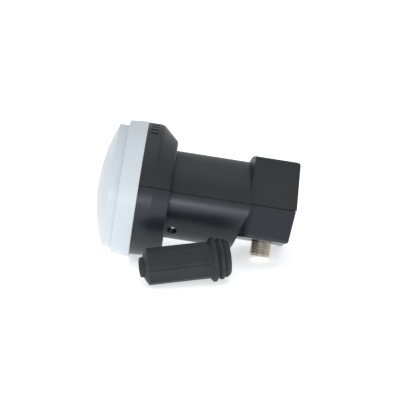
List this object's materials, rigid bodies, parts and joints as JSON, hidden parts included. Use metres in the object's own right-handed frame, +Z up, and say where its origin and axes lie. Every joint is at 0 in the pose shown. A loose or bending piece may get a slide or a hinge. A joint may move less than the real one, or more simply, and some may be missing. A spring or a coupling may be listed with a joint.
{
  "type": "low-noise block downconverter",
  "caption": "Satellite dish feed unit with a domed cap, a wide collar, a clamp neck, a rear box with a threaded outlet, and its loose rubber cable boot.",
  "frame": {"origin": "centre of the clamp neck on the feed axis", "axes": "+Z up as the unit lies on a table; +X level, along the unit from the cap to the rear box; +Y away from the side that the boot lies on. The feed axis dips 8.8 degrees towards the rear and the unit is rolled 19.8 degrees, because it rests on its ring, on the outlet's rim and on a corner of the box"},
  "size_m": [0.0924, 0.0827, 0.0622],
  "materials": {
    "feed_cap": "smooth moulded white polypropylene",
    "cap_seal": "O-ring",
    "feed_casting": "as die-cast",
    "upper_shell": "fine spark-eroded texture",
    "lower_shell": "fine spark-eroded texture",
    "shell_screws": "zinc plated",
    "circuit_board": "solder mask on laminate",
    "vertical_probe": "copper track",
    "horizontal_probe": "copper track",
    "lna_transistors": "ceramic package",
    "converter_chip": "moulded package",
    "reference_crystal": "metal can",
    "voltage_regulator": "moulded package",
    "chip_capacitors": "ceramic chips",
    "chip_inductors": "ferrite chips",
    "shield_cover": "as die-cast",
    "shield_screws": "zinc plated",
    "absorber_pad": "loaded foam",
    "lid_gasket": "flat gasket",
    "rear_lid": "pressed sheet",
    "lid_screws": "zinc plated",
    "connector_body": "nickel plated",
    "connector_insulator": "moulded insulator",
    "connector_contact": "tinned bronze spring contact",
    "connector_seal": "moulded ring",
    "weather_boot": "soft matt rubber"
  },
  "bodies": {
    "root": {"feed_cap": "feed_cap", "cap_seal": "cap_seal", "feed_casting": "feed_casting", "upper_shell": "upper_shell", "lower_shell": "lower_shell", "shell_screws": "shell_screws", "circuit_board": "circuit_board", "vertical_probe": "vertical_probe", "horizontal_probe": "horizontal_probe", "lna_transistors": "lna_transistors", "converter_chip": "converter_chip", "reference_crystal": "reference_crystal", "voltage_regulator": "voltage_regulator", "chip_capacitors": "chip_capacitors", "chip_inductors": "chip_inductors", "shield_cover": "shield_cover", "shield_screws": "shield_screws", "absorber_pad": "absorber_pad", "lid_gasket": "lid_gasket", "rear_lid": "rear_lid", "lid_screws": "lid_screws", "connector_body": "connector_body", "connector_insulator": "connector_insulator", "connector_contact": "connector_contact", "connector_seal": "connector_seal", "weather_boot": "weather_boot"}
  },
  "joints": []
}
